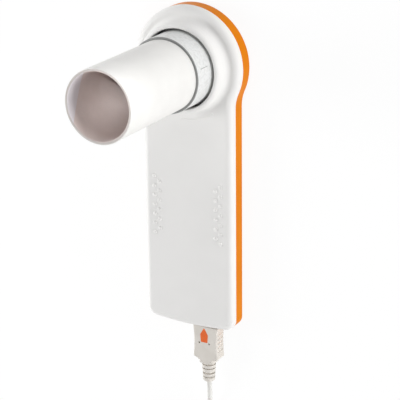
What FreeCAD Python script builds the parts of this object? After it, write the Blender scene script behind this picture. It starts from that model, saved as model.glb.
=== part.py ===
import FreeCAD, Part
import math
import os

# Hand-held spirometer with a clear turbine, a cardboard mouthpiece and a plug-in cable, lying on its back.
# X is across the handset, Y runs along it to the head, Z comes out of its front. The origin is on the back
# face, in the middle of the handset. All sizes are in millimetres.

# Mouthpiece, a standard size that the turbine is made to take
mouthpiece_radius = 15.0
mouthpiece_wall = 1.25
mouthpiece_length = 58.7
mouthpiece_bevel = 0.3
mouth_insertion = 10.0
mouth_clearance = 0.05
squeeze_reach = 0.1

# Turbine
tube_wall = 1.55
tube_bottom = 2.2
collar_squeeze = 0.15
collar_wall = 1.15
collar_bevel = 0.25
collar_gap = 1.15
collar_height = 15.9
swirler_height = 3.4
swirler_ring_wall = 0.8
swirler_fit = 0.05
swirler_blades = 6
swirler_inset = 0.2
rotor_bay = 8.4
blade_thickness = 0.6
blade_curl = 50.0
blade_setback = 0.2
blade_overlap = 0.3
hub_radius = 3.0
hub_bevel = 0.9
bearing_radius = 1.2
bearing_height = 2.0
pivot_depth = 0.9
pivot_clearance = 0.06
pivot_end_play = 0.08
axle_radius = 0.5
vane_gap = 0.7
vane_tip_clearance = 0.75
vane_tip_rounding = 1.2
vane_thickness = 0.4
vane_hub_radius = 1.0

# Smoked socket that the turbine sits in
tube_clearance = 0.1
socket_wall = 1.6
socket_height = 10.5
socket_flange_width = 1.4
socket_flange_height = 1.0
socket_seat_width = 0.9
socket_seat_height = 1.6
key_width = 3.0
key_height = 0.8
key_length = 8.5
key_clearance = 0.15

# Sensor board, a ring round the socket with a tab towards the main board
sensor_head_gap = 0.6
sensor_ring_gap = 0.5
sensor_ring_width = 4.7
sensor_rim_gap = 0.65
sensor_tab_half_width = 7.5
sensor_tab_reach = 2.9
sensor_post_angles = (90.0, 205.0, 335.0)
sensor_post_radius = 1.5
sensor_post_inset = 1.6
sensor_pin_radius = 0.9
sensor_pin_height = 0.6
beam_half_spacing = 6.0
sensor_width = 4.4
sensor_depth = 2.4
sensor_height = 3.0
sensor_setback = 0.1
lens_radius = 1.1
lens_setback = 0.5
thermometer_size = (1.6, 2.9, 1.2)
thermometer_inset = 2.0
header_length = 12.7
header_width = 2.5
header_inset = 4.5

# Handset outline and shells
handset_length = 142.0
body_half_width = 21.3
neck_blend_radius = 16.0
bottom_bulge = 1.5
bottom_corner_radius = 4.5
body_depth = 11.0
parting_height = 7.0
front_edge_radius = 2.8
rear_edge_radius = 2.0
wall = 2.0
lip_height = 1.3
lip_clearance = 0.05
slip_clearance = 0.1

# Ring-shaped boss round the turbine
boss_height = 17.8
boss_rim_width = 2.05
boss_rim_rounding = 1.6
boss_foot_width = 4.6
boss_foot_rounding = 2.2
boss_lip_bevel = 0.3

# Grip dots
dot_radius = 0.9
dot_height = 0.2
dot_pitch = 4.25
dot_edge_distance = 5.3
dot_column_gap = 2.3
dot_count = 7
dot_middle_distance = 54.0

# Opening in the back that lets the air out
exit_clearance = 0.25
exit_flare = 1.75
exit_flare_depth = 1.2

# Screws
case_screw_head_distance = 25.15
case_screw_bottom_distance = 11.0
case_boss_radius = 2.6
case_boss_bottom = 4.2
case_screw_radius = 1.0
case_screw_length = 7.0
case_screw_head_radius = 2.0
case_screw_head_height = 1.5
case_screw_recess = 2.2
screw_clearance = 0.15
thread_clearance = 0.05
screw_tip_gap = 0.3
recess_width = 0.6
recess_depth = 0.7
recess_share = 0.6
board_screw_inset = 4.9
board_screw_top_distance = 11.0
board_screw_middle_distance = 33.4
board_screw_bottom_distance = 14.4
board_screw_radius = 0.85
board_screw_length = 2.8
board_screw_head_radius = 1.8
board_screw_head_height = 1.2
board_boss_radius = 2.2

# Main board and what stands on its underside
board_thickness = 1.0
board_gap = 1.0
board_side_gap = 0.9
board_bottom_gap = 2.6
board_part_gap = 0.15
board_corner = 2.0
notch_clearance = 0.5
chip_height = 1.3
chip_standoff = 0.15
leg_size = (1.6, 0.3, 0.4)
leg_overlap = 0.4
leg_pitch = 1.0
main_chip_place = (-4.0, 36.0)
main_chip_size = (9.0, 9.0)
main_chip_legs = 8
interface_chip_place = (6.0, 24.4)
interface_chip_size = (5.3, 8.0)
interface_chip_legs = 7
crystal_place = (-5.0, 50.0)
crystal_size = (5.0, 3.2, 1.1)
small_part_size = (1.6, 0.8, 0.7)
upper_row_place = (-11.0, 23.5)
upper_row_step = 3.0
upper_row_count = 4
side_row_place = (8.0, 27.0)
side_row_step = 2.4
side_row_count = 3
lower_row_place = (-2.0, 14.4)
lower_row_step = 2.2
lower_row_count = 4

# Socket for the cable in the handset's lower end, and the plug that goes in it
plug_x = 6.5
receptacle_width = 7.7
receptacle_height = 3.95
receptacle_length = 9.2
receptacle_setback = 0.8
receptacle_chamfer = 1.1
receptacle_rounding = 0.3
sheet_thickness = 0.3
plug_shell_clearance = 0.12
window_clearance = 0.35
tongue_width = 5.0
tongue_thickness = 1.0
tongue_tip_gap = 0.3
tongue_root = 2.0
tongue_drop = 0.1
contact_count = 5
contact_pitch = 0.8
contact_width = 0.4
contact_thickness = 0.15
contact_setback = 0.3
plug_gap = 0.3
plug_reach = 7.0
plug_root = 1.5
plug_core_depth = 2.2
plug_liner = 0.5

# Moulding on the cable's near end
moulding_width = 12.4
moulding_waist = 11.4
moulding_length = 15.0
moulding_thickness = 6.8
moulding_edge = 0.8
moulding_corner = 1.0
moulding_centre_height = 5.0
shoulder_drop = 1.0
neck_width = 7.0
neck_length = 1.7
neck_thickness = 6.2
neck_corner = 1.2
grip_rib_count = 5
grip_rib_pitch = 2.0
grip_rib_radius = 0.35
grip_rib_sink = 0.05
grip_rib_margin = 1.2
arrow_offset = -0.45
arrow_width = 3.8
arrow_foot_share = 0.84
arrow_length = 6.9
arrow_head_length = 3.2
arrow_corner = 0.3
arrow_set_back = 0.5
arrow_depth = 0.5
arrow_stand = 0.05
locating_hole_spacing = 4.84
locating_hole_radius = 0.45
locating_hole_depth = 1.5
locating_hole_drop = 0.45
relief_length = 9.2
relief_start_width = 6.2
relief_end_width = 5.2
relief_end_bevel = 0.5
groove_start = 0.35
groove_pitch = 2.12
groove_width = 0.8
narrow_groove_width = 0.56
groove_depth = 1.1

# Cable
cable_diameter = 2.2
coil_columns = 4
coil_layers = 4
coil_diameter = 26.4
coil_centre = (-13.3, -142.0)
tie_width = 6.0
tie_thickness = 0.5
tie_rounding = 0.8
tie_angle = 60.0

# Far plug, lying beside the coil
far_body_length = 17.0
far_body_width = 14.5
far_body_thickness = 7.6
far_body_edge = 1.2
far_end_rounding = 0.7
far_relief_length = 7.0
far_relief_start = 5.6
far_relief_end = 4.0
far_shell_length = 11.8
far_shell_width = 12.0
far_shell_height = 4.5
far_shell_root = 1.5
far_core_height = 1.9
far_core_clearance = 0.3
far_contact_pitch = 2.3
far_contact_width = 1.2
far_contact_count = 4
far_contact_setback = 1.0
far_window_size = 2.4
far_window_spacing = 5.2

# Places worked out from the sizes, from the air's way outwards to the head
flow_radius = mouthpiece_radius - mouthpiece_wall
tube_radius = flow_radius + tube_wall
collar_bore_radius = mouthpiece_radius - collar_squeeze
collar_radius = collar_bore_radius + collar_wall
socket_bore_radius = tube_radius + tube_clearance
socket_radius = socket_bore_radius + socket_wall
socket_flange_radius = socket_radius + socket_flange_width
socket_top = wall + socket_height
key_bottom = socket_top - key_length
sensor_board_inner_radius = socket_radius + sensor_ring_gap
sensor_board_outer_radius = sensor_board_inner_radius + sensor_ring_width
sensor_near_face = sensor_board_inner_radius + sensor_setback
sensor_post_place = sensor_board_outer_radius - sensor_post_inset
head_radius = sensor_board_outer_radius + sensor_rim_gap + wall
head_y = handset_length / 2 - head_radius
bottom_y = -handset_length / 2

# Heights along the turbine
collar_top = socket_top + collar_height
mouth_seat = collar_top - mouth_insertion
mouthpiece_top = mouth_seat + mouthpiece_length
rear_swirler_bottom = tube_bottom + swirler_inset
rear_swirler_top = rear_swirler_bottom + swirler_height
front_swirler_bottom = rear_swirler_top + rotor_bay
vane_low = rear_swirler_top + vane_gap
vane_high = front_swirler_bottom - vane_gap

# Boss, dots, boards and screws
boss_bore_radius = collar_radius + collar_gap
boss_rim_radius = boss_bore_radius + boss_rim_width
boss_foot_radius = boss_bore_radius + boss_foot_width
dot_outer_x = body_half_width - dot_edge_distance
dot_inner_x = dot_outer_x - dot_column_gap
dot_centre_y = bottom_y + dot_middle_distance
ceiling = body_depth - wall
sensor_board_top = ceiling - sensor_head_gap - sensor_height
sensor_board_height = sensor_board_top - board_thickness
board_top = ceiling - board_gap
board_bottom = board_top - board_thickness
board_half_width = body_half_width - wall - board_side_gap
board_bottom_y = bottom_y + wall + board_bottom_gap
board_top_y = head_y - sensor_near_face - sensor_depth - board_part_gap
header_y = board_top_y - header_inset
case_screw_x = body_half_width - wall - slip_clearance - case_boss_radius
case_screw_rows = (head_y - case_screw_head_distance, bottom_y + case_screw_bottom_distance)
board_screw_x = board_half_width - board_screw_inset
board_screw_places = (
    (-board_screw_x, board_top_y - board_screw_top_distance),
    (board_screw_x, board_bottom_y + board_screw_middle_distance),
    (-board_screw_x, board_bottom_y + board_screw_bottom_distance),
)

# Arcs of the handset's outline
blend_x = body_half_width + neck_blend_radius
blend_y = head_y - math.sqrt((head_radius + neck_blend_radius) ** 2 - blend_x ** 2)
bottom_radius = (body_half_width ** 2 + bottom_bulge ** 2) / (2 * bottom_bulge)
bottom_centre_y = bottom_y + bottom_radius
corner_x = body_half_width - bottom_corner_radius
corner_y = bottom_centre_y - math.sqrt((bottom_radius - bottom_corner_radius) ** 2 - corner_x ** 2)
blend_angle = math.degrees(math.atan2(head_y - blend_y, blend_x))
corner_angle = math.degrees(math.atan2(corner_y - bottom_centre_y, corner_x))


def point(x, y, z=0.0):
    return FreeCAD.Vector(x, y, z)


def turned(shape, angle, centre=(0.0, head_y), axis=(0, 0, 1)):
    """A copy of the shape, turned about an upright axis through the centre."""
    copy = shape.copy()
    copy.rotate(point(centre[0], centre[1]), point(*axis), angle)
    return copy


def moved(shape, x, y, z=0.0):
    copy = shape.copy()
    copy.translate(point(x, y, z))
    return copy


def joined(shapes):
    """One shape fused from several that overlap."""
    whole = shapes[0]
    for shape in shapes[1:]:
        whole = whole.fuse(shape)
    return whole.removeSplitter()


def cylinder(radius, low, high, x=0.0, y=0.0):
    return Part.makeCylinder(radius, high - low, point(x, y, low))


def block(low, high):
    """A box between two opposite corners."""
    size = [b - a for a, b in zip(low, high)]
    return Part.makeBox(size[0], size[1], size[2], point(*low))


def centred_block(size, middle):
    """A box of a size round its middle point."""
    low = [m - s / 2 for m, s in zip(middle, size)]
    high = [m + s / 2 for m, s in zip(middle, size)]
    return block(low, high)


def arc(centre, radius, start, end):
    """An arc in the XY plane between two angles in degrees."""
    places = []
    for angle in (start, (start + end) / 2, end):
        a = math.radians(angle)
        places.append(point(centre[0] + radius * math.cos(a), centre[1] + radius * math.sin(a)))
    return Part.Arc(*places).toShape()


def rounded_wire(corners, place):
    """A closed wire through corners (a, b, rounding), each put in space by place(a, b)."""
    count = len(corners)
    edges = []
    arcs = []
    for i in range(count):
        before = corners[i - 1]
        here = corners[i]
        after = corners[(i + 1) % count]
        rounding = here[2] if len(here) > 2 else 0.0
        to_before = (before[0] - here[0], before[1] - here[1])
        to_after = (after[0] - here[0], after[1] - here[1])
        length_before = math.hypot(*to_before)
        length_after = math.hypot(*to_after)
        u = (to_before[0] / length_before, to_before[1] / length_before)
        v = (to_after[0] / length_after, to_after[1] / length_after)
        if rounding == 0.0:
            arcs.append((here[:2], None, here[:2]))
            continue
        inside = math.acos(max(-1.0, min(1.0, u[0] * v[0] + u[1] * v[1])))
        reach = rounding / math.tan(inside / 2)
        start = (here[0] + u[0] * reach, here[1] + u[1] * reach)
        end = (here[0] + v[0] * reach, here[1] + v[1] * reach)
        bisector = (u[0] + v[0], u[1] + v[1])
        size = math.hypot(*bisector)
        depth = rounding / math.sin(inside / 2) - rounding
        middle = (here[0] + bisector[0] / size * depth, here[1] + bisector[1] / size * depth)
        arcs.append((start, middle, end))
    for i in range(count):
        start, middle, end = arcs[i]
        if middle is not None:
            edges.append(Part.Arc(place(*start), place(*middle), place(*end)).toShape())
        next_start = arcs[(i + 1) % count][0]
        if math.dist(end, next_start) > 1e-6:
            edges.append(Part.LineSegment(place(*end), place(*next_start)).toShape())
    return Part.Wire(edges)


def bevelled(corners):
    """The corners (a, b, bevel) with each bevel cut off flat."""
    places = []
    for i, here in enumerate(corners):
        if len(here) == 2:
            places.append(here)
            continue
        for other in (corners[i - 1], corners[(i + 1) % len(corners)]):
            part = here[2] / math.dist(here[:2], other[:2])
            places.append((here[0] + (other[0] - here[0]) * part, here[1] + (other[1] - here[1]) * part))
    return places


def revolved(corners, x=0.0, y=head_y):
    """A ring turned about an upright axis from its section's corners (radius, height, rounding)."""
    wire = rounded_wire(corners, lambda r, z: point(x + r, y, z))
    return Part.Face(wire).revolve(point(x, y, 0), point(0, 0, 1), 360)


def prism_up(corners, low, high):
    """An upright prism on an outline in the XY plane."""
    wire = rounded_wire(corners, lambda a, b: point(a, b, low))
    return Part.Face(wire).extrude(point(0, 0, high - low))


def prism_along(corners, start, end):
    """A prism along Y on an outline in the XZ plane."""
    wire = rounded_wire(corners, lambda a, b: point(a, start, b))
    return Part.Face(wire).extrude(point(0, end - start, 0))


def edges_at(shape, height):
    """The edges that lie wholly at one height."""
    return [e for e in shape.Edges if all(abs(v.Z - height) < 1e-4 for v in e.Vertexes)]


def save(name, shape):
    shape.exportStep(os.path.join("parts", name + ".step"))
    solids = len(shape.Solids)
    print(f"{name}: {solids} solid, {shape.Volume:.1f} mm3, valid {shape.isValid()}")


# Handset

def handset_slab(inset, low, high):
    """The handset's outline, moved inwards by inset, as an upright slab."""
    head = (0.0, head_y)
    half = body_half_width - inset
    corner = bottom_corner_radius - inset
    sweep = 90.0 + corner_angle
    edges = [
        Part.LineSegment(point(half, corner_y), point(half, blend_y)).toShape(),
        arc((blend_x, blend_y), neck_blend_radius + inset, 180.0, 180.0 - blend_angle),
        arc(head, head_radius - inset, -blend_angle, 180.0 + blend_angle),
        arc((-blend_x, blend_y), neck_blend_radius + inset, blend_angle, 0.0),
        Part.LineSegment(point(-half, blend_y), point(-half, corner_y)).toShape(),
        arc((-corner_x, corner_y), corner, 180.0, 270.0 - sweep),
        arc((0.0, bottom_centre_y), bottom_radius - inset, 270.0 - sweep, 270.0 + sweep),
        arc((corner_x, corner_y), corner, 270.0 + sweep, 360.0),
    ]
    slab = Part.Face(Part.Wire(edges)).extrude(point(0, 0, high - low))
    return moved(slab, 0, 0, low)


def connector_corners(grow):
    """The flat-sided outline of the cable's socket, seen along Y, grown on all sides."""
    half = receptacle_width / 2 + grow
    top = board_bottom + grow
    low = board_bottom - receptacle_height - grow
    cut = receptacle_chamfer
    return [
        (plug_x - half, top, receptacle_rounding),
        (plug_x - half, low + cut, receptacle_rounding),
        (plug_x - half + cut, low, receptacle_rounding),
        (plug_x + half - cut, low, receptacle_rounding),
        (plug_x + half, low + cut, receptacle_rounding),
        (plug_x + half, top, receptacle_rounding),
    ]


def cable_window():
    """The opening for the cable's socket through the lower end of both shells."""
    return prism_along(connector_corners(window_clearance), bottom_y - 1, bottom_y + wall + 1)


def case_screw_places():
    return [(side * case_screw_x, y) for y in case_screw_rows for side in (-1, 1)]


def grip_dots():
    """Raised dots in two staggered columns on each side of the front face."""
    dots = []
    for column_x, count in ((dot_outer_x, dot_count), (dot_inner_x, dot_count - 1)):
        for row in range(count):
            y = dot_centre_y + (row - (count - 1) / 2) * dot_pitch
            for side in (-1, 1):
                x = side * column_x
                dots.append(cylinder(dot_radius, body_depth - wall / 2, body_depth + dot_height, x, y))
    return dots


def make_front_shell():
    outside = handset_slab(0.0, parting_height, body_depth)
    outside = outside.makeFillet(front_edge_radius, edges_at(outside, body_depth))
    boss = revolved([
        (boss_bore_radius - 1, body_depth - 1),
        (boss_bore_radius - 1, boss_height),
        (boss_rim_radius, boss_height, boss_rim_rounding),
        (boss_rim_radius, body_depth, boss_foot_rounding),
        (boss_foot_radius, body_depth),
        (boss_foot_radius, body_depth - 1),
    ])
    shell = joined([outside, boss])
    shell = shell.cut(handset_slab(wall, parting_height - 1, ceiling))
    bore = revolved([
        (0, parting_height - 1),
        (boss_bore_radius, parting_height - 1),
        (boss_bore_radius, boss_height - boss_lip_bevel),
        (boss_bore_radius + boss_lip_bevel, boss_height + 0.01),
        (0, boss_height + 0.01),
    ])
    shell = shell.cut(bore)
    lip_outer = wall / 2 + lip_clearance
    lip = handset_slab(lip_outer, parting_height - lip_height, parting_height + 0.5)
    lip = lip.cut(handset_slab(wall - lip_clearance, parting_height - 2 * lip_height, body_depth))
    pieces = [shell, lip]
    for x, y in case_screw_places():
        pieces.append(cylinder(case_boss_radius, case_boss_bottom, ceiling + 0.5, x, y))
    for x, y in board_screw_places:
        pieces.append(cylinder(board_boss_radius, board_top, ceiling + 0.5, x, y))
    pieces += grip_dots()
    shell = joined(pieces)
    holes = [cable_window()]
    screw_end = case_screw_recess + case_screw_length + screw_tip_gap
    for x, y in case_screw_places():
        holes.append(cylinder(case_screw_radius + thread_clearance, case_boss_bottom - 1, screw_end, x, y))
    board_screw_end = board_bottom + board_screw_length + screw_tip_gap
    for x, y in board_screw_places:
        holes.append(cylinder(board_screw_radius + thread_clearance, board_top - 1, board_screw_end, x, y))
    for hole in holes:
        shell = shell.cut(hole)
    return shell


def make_rear_cover():
    outside = handset_slab(0.0, 0.0, parting_height)
    outside = outside.makeFillet(rear_edge_radius, edges_at(outside, 0.0))
    cover = outside.cut(handset_slab(wall, wall, parting_height + 1))
    step = handset_slab(wall / 2, parting_height - lip_height - slip_clearance, parting_height + 1)
    cover = cover.cut(step)
    seat_inner = socket_flange_radius + screw_clearance
    seat = revolved([
        (seat_inner, wall - 0.5),
        (seat_inner + socket_seat_width, wall - 0.5),
        (seat_inner + socket_seat_width, wall + socket_seat_height),
        (seat_inner, wall + socket_seat_height),
    ])
    pieces = [cover, seat]
    for x, y in case_screw_places():
        pieces.append(cylinder(case_boss_radius, wall - 0.5, case_boss_bottom - slip_clearance, x, y))
    for angle in sensor_post_angles:
        x, y = sensor_post_xy(angle)
        pieces.append(cylinder(sensor_post_radius, wall - 0.5, sensor_board_height, x, y))
        pin_top = sensor_board_top + sensor_pin_height
        pieces.append(cylinder(sensor_pin_radius, sensor_board_height - 0.5, pin_top, x, y))
    cover = joined(pieces)
    exit_hole = revolved([
        (0, -1),
        (flow_radius + exit_flare, -1),
        (flow_radius + exit_flare, 0),
        (flow_radius + exit_clearance, exit_flare_depth),
        (flow_radius + exit_clearance, wall + 1),
        (0, wall + 1),
    ])
    holes = [exit_hole, cable_window()]
    for x, y in case_screw_places():
        holes.append(cylinder(case_screw_head_radius + screw_clearance, -1, case_screw_recess, x, y))
        holes.append(cylinder(case_screw_radius + screw_clearance, -1, parting_height, x, y))
    for hole in holes:
        cover = cover.cut(hole)
    return cover


def screw(length, radius, head_radius, head_height):
    """A cross-recess screw, standing on its head's under face at the origin and pointing up."""
    body = joined([cylinder(head_radius, -head_height, 0.0), cylinder(radius, -0.2, length)])
    for angle in (0.0, 90.0):
        reach = 2 * head_radius * recess_share
        arm = centred_block((reach, recess_width, 2 * recess_depth), (0, 0, -head_height))
        body = body.cut(turned(arm, angle, (0.0, 0.0)))
    return body


def screws_at(one, places, height):
    return Part.makeCompound([moved(one, x, y, height) for x, y in places])


# Boards

def sensor_post_xy(angle):
    a = math.radians(angle)
    return sensor_post_place * math.cos(a), head_y + sensor_post_place * math.sin(a)


def make_main_board():
    half = board_half_width
    corners = [
        (-half, board_bottom_y, board_corner),
        (half, board_bottom_y, board_corner),
        (half, board_top_y, board_corner),
        (-half, board_top_y, board_corner),
    ]
    board = prism_up(corners, board_bottom, board_top)
    for x, y in case_screw_places():
        board = board.cut(cylinder(case_boss_radius + notch_clearance, 0, body_depth, x, y))
    for x, y in board_screw_places:
        board = board.cut(cylinder(board_screw_radius + screw_clearance, 0, body_depth, x, y))
    return board


def make_sensor_board():
    low = sensor_board_height
    high = sensor_board_top
    disc = cylinder(sensor_board_outer_radius, low, high, 0, head_y)
    tab_end = header_y - sensor_tab_reach
    tab = block((-sensor_tab_half_width, tab_end, low), (sensor_tab_half_width, head_y, high))
    board = joined([disc, tab]).cut(cylinder(sensor_board_inner_radius, low - 1, high + 1, 0, head_y))
    for angle in sensor_post_angles:
        x, y = sensor_post_xy(angle)
        board = board.cut(cylinder(sensor_pin_radius + screw_clearance, low - 1, high + 1, x, y))
    return board


def make_beam_parts(side):
    """Two side-looking infrared packages on the sensor board, each with a domed lens facing the turbine."""
    height = sensor_board_top + sensor_height / 2
    near = head_y + side * sensor_near_face
    parts = []
    for x in (-beam_half_spacing, beam_half_spacing):
        middle = (x, near + side * sensor_depth / 2, height)
        case = centred_block((sensor_width, sensor_depth, sensor_height), middle)
        lens = Part.makeSphere(lens_radius, point(x, near + side * lens_setback, height))
        parts.append(joined([case, lens]))
    return Part.makeCompound(parts)


def make_temperature_sensor():
    height = sensor_board_top + thermometer_size[2] / 2
    return centred_block(thermometer_size, (sensor_board_inner_radius + thermometer_inset, head_y, height))


def make_link_header():
    height = board_bottom - sensor_board_top
    return centred_block((header_length, header_width, height), (0, header_y, sensor_board_top + height / 2))


def make_chip(x, y, size, legs, sides):
    """A flat chip under the main board with its rows of legs on two or four sides."""
    width, length = size
    chip_middle = board_bottom - chip_standoff - chip_height / 2
    pieces = [centred_block((width, length, chip_height), (x, y, chip_middle))]
    leg_height = board_bottom - leg_size[2] / 2
    for i in range(legs):
        along = (i - (legs - 1) / 2) * leg_pitch
        for side in (-1, 1):
            leg_x = x + side * (width / 2 + leg_overlap)
            pieces.append(centred_block(leg_size, (leg_x, y + along, leg_height)))
            if sides == 4:
                leg_y = y + side * (length / 2 + leg_overlap)
                turned_size = (leg_size[1], leg_size[0], leg_size[2])
                pieces.append(centred_block(turned_size, (x + along, leg_y, leg_height)))
    return joined(pieces)


def make_small_parts():
    """Resistors and capacitors in short rows beside the chips, under the main board."""
    height = board_bottom - small_part_size[2] / 2
    middles = []
    for i in range(upper_row_count):
        middles.append((upper_row_place[0] + i * upper_row_step, board_top_y - upper_row_place[1], height))
    for i in range(side_row_count):
        middles.append((side_row_place[0], board_top_y - side_row_place[1] - i * side_row_step, height))
    for i in range(lower_row_count):
        middles.append((lower_row_place[0], board_bottom_y + lower_row_place[1] + i * lower_row_step, height))
    return Part.makeCompound([centred_block(small_part_size, middle) for middle in middles])


# Socket of the cable

receptacle_front = bottom_y + receptacle_setback
receptacle_back = receptacle_front + receptacle_length
connector_middle = board_bottom - receptacle_height / 2
tongue_back = receptacle_back - sheet_thickness - tongue_root
moulding_front = bottom_y - plug_gap
plug_tip = moulding_front + plug_reach
tongue_tip = moulding_front + plug_core_depth + tongue_tip_gap
tongue_top = connector_middle + tongue_thickness / 2 - tongue_drop


def contact_places():
    return [plug_x + (i - (contact_count - 1) / 2) * contact_pitch for i in range(contact_count)]


def make_receptacle_shell():
    shell = prism_along(connector_corners(0.0), receptacle_front, receptacle_back)
    inside = connector_corners(-sheet_thickness)
    hollow = prism_along(inside, receptacle_front - 1, receptacle_back - sheet_thickness)
    return shell.cut(hollow)


def make_receptacle_tongue():
    root = prism_along(connector_corners(-sheet_thickness), tongue_back, receptacle_back - sheet_thickness)
    tongue = block((plug_x - tongue_width / 2, tongue_tip, tongue_top - tongue_thickness),
                   (plug_x + tongue_width / 2, tongue_back + 0.5, tongue_top))
    return joined([root, tongue])


def make_receptacle_contacts():
    strips = []
    for x in contact_places():
        strips.append(block((x - contact_width / 2, tongue_tip + contact_setback, tongue_top),
                            (x + contact_width / 2, tongue_back, tongue_top + contact_thickness)))
    return Part.makeCompound(strips)


def make_plug_shell():
    grow = -sheet_thickness - plug_shell_clearance
    back = moulding_front - plug_root
    shell = prism_along(connector_corners(grow), back, plug_tip)
    hollow = prism_along(connector_corners(grow - sheet_thickness), back - 1, plug_tip + 1)
    return shell.cut(hollow)


def make_plug_core():
    """The insulator in the plug's shell: a back block and a liner under the shell's top side."""
    grow = -2 * sheet_thickness - plug_shell_clearance
    back = prism_along(connector_corners(grow), moulding_front - plug_root, moulding_front + plug_core_depth)
    whole = prism_along(connector_corners(grow), moulding_front, plug_tip - contact_setback)
    liner_low = board_bottom + grow - plug_liner
    room = receptacle_width
    upper = block((plug_x - room, moulding_front, liner_low), (plug_x + room, plug_tip, body_depth))
    liner = whole.common(upper)
    return joined([back, liner])


def make_plug_contacts():
    grow = -2 * sheet_thickness - plug_shell_clearance
    top = board_bottom + grow - plug_liner
    start = moulding_front + plug_core_depth
    end = plug_tip - 2 * contact_setback
    strips = []
    for x in contact_places():
        strips.append(block((x - contact_width / 2, start, top - contact_thickness),
                            (x + contact_width / 2, end, top)))
    return Part.makeCompound(strips)


# Moulding of the cable's near end

moulding_back = moulding_front - moulding_length
neck_back = moulding_back - shoulder_drop - neck_length
relief_back = neck_back - relief_length
moulding_top = moulding_centre_height + moulding_thickness / 2
moulding_low = moulding_centre_height - moulding_thickness / 2


def moulding_half_width(y):
    """Half the moulding's width at a place along it: full at both ends and waisted between them."""
    part = (moulding_front - y) / moulding_length
    return moulding_width / 2 - (moulding_width - moulding_waist) / 2 * math.sin(math.pi * part)


def make_moulding():
    half = moulding_width / 2
    waist = moulding_waist / 2
    neck = neck_width / 2
    middle_y = moulding_front - moulding_length / 2
    sides = []
    for side in (1, -1):
        ends = [point(plug_x + side * half, moulding_front), point(plug_x + side * half, moulding_back)]
        sides.append(Part.Arc(ends[0], point(plug_x + side * waist, middle_y), ends[1]).toShape())
    shoulder = [
        (plug_x + half, moulding_back),
        (plug_x + neck, moulding_back - shoulder_drop),
        (plug_x + neck, moulding_back - shoulder_drop - 1),
        (plug_x - neck, moulding_back - shoulder_drop - 1),
        (plug_x - neck, moulding_back - shoulder_drop),
        (plug_x - half, moulding_back),
    ]
    lines = [Part.LineSegment(point(*a), point(*b)).toShape() for a, b in zip(shoulder, shoulder[1:])]
    front_ends = [point(plug_x - half, moulding_front), point(plug_x + half, moulding_front)]
    front = Part.LineSegment(*front_ends).toShape()
    face = Part.Face(Part.Wire(Part.__sortEdges__([sides[0], sides[1], front] + lines)))
    body = moved(face.extrude(point(0, 0, moulding_thickness)), 0, 0, moulding_low)
    upright = [e for e in body.Edges if abs(e.Vertexes[0].Z - e.Vertexes[-1].Z) > 1
               and abs(e.Vertexes[0].Y - moulding_back) < 0.01]
    body = body.makeFillet(moulding_corner, upright)
    rims = [e for e in edges_at(body, moulding_top) + edges_at(body, moulding_low)
            if min(v.Y for v in e.Vertexes) > moulding_back - shoulder_drop - 0.5
            and not all(abs(v.Y - moulding_front) < 0.01 for v in e.Vertexes)]
    body = body.makeFillet(moulding_edge, rims)
    neck_low = moulding_centre_height - neck_thickness / 2
    neck_top = moulding_centre_height + neck_thickness / 2
    keep_front = block((plug_x - 20, moulding_back - shoulder_drop + 0.01, 0), (plug_x + 20, bottom_y, 20))
    body = body.common(keep_front)
    neck_block = prism_along([
        (plug_x - neck, neck_low, neck_corner),
        (plug_x + neck, neck_low, neck_corner),
        (plug_x + neck, neck_top, neck_corner),
        (plug_x - neck, neck_top, neck_corner),
    ], neck_back, moulding_back + 0.5)
    rib_low = moulding_low + grip_rib_margin
    rib_top = moulding_top - grip_rib_margin
    ribs = []
    for i in range(grip_rib_count):
        y = middle_y + (i - (grip_rib_count - 1) / 2) * grip_rib_pitch
        for side in (-1, 1):
            x = plug_x + side * (moulding_half_width(y) - grip_rib_sink)
            ribs.append(cylinder(grip_rib_radius, rib_low, rib_top, x, y))
    body = joined([body, neck_block] + ribs)
    body = body.cut(arrow_prism(0.0))
    hole_y = moulding_front - arrow_set_back - arrow_length - locating_hole_drop
    for side in (-1, 1):
        x = plug_x + arrow_offset + side * locating_hole_spacing / 2
        hole_low = moulding_top - locating_hole_depth
        body = body.cut(cylinder(locating_hole_radius, hole_low, moulding_top + 1, x, hole_y))
    pocket = prism_along(connector_corners(-sheet_thickness - plug_shell_clearance),
                         moulding_front - plug_root, moulding_front + 1)
    return body.cut(pocket)


def arrow_prism(proud):
    """The arrow that points to the handset, let into the moulding's upper face."""
    tip_y = moulding_front - arrow_set_back
    x = plug_x + arrow_offset
    half = arrow_width / 2
    corners = [
        (x, tip_y, arrow_corner),
        (x - half, tip_y - arrow_head_length, arrow_corner),
        (x - half * arrow_foot_share, tip_y - arrow_length, arrow_corner),
        (x + half * arrow_foot_share, tip_y - arrow_length, arrow_corner),
        (x + half, tip_y - arrow_head_length, arrow_corner),
    ]
    return prism_up(corners, moulding_top - arrow_depth, moulding_top + proud)


def make_relief(x, start_y, length, start_width, end_width, height, direction):
    """A round strain relief that tapers away from its plug, with grooves round it."""
    axis = point(direction[0], direction[1], 0)
    start = point(x, start_y, height)
    cone = Part.makeCone(start_width / 2, end_width / 2, length, start, axis)
    far = start + axis * length
    rims = [e for e in cone.Edges if all((v.Point - far).Length < end_width for v in e.Vertexes)
            and abs(e.CenterOfMass.distanceToPoint(far)) < 0.1]
    cone = cone.makeChamfer(relief_end_bevel, rims)
    grooves = int((length - groove_start) / groove_pitch)
    for i in range(grooves):
        at = groove_start + i * groove_pitch
        radius = start_width / 2 + (end_width - start_width) / 2 * at / length
        width = groove_width if i % 2 == 0 else narrow_groove_width
        outer = Part.makeCylinder(radius + 1, width, start + axis * at, axis)
        inner = Part.makeCylinder(radius - groove_depth, width + 2, start + axis * (at - 1), axis)
        cone = cone.cut(outer.cut(inner))
    return cone


# Cable

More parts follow.
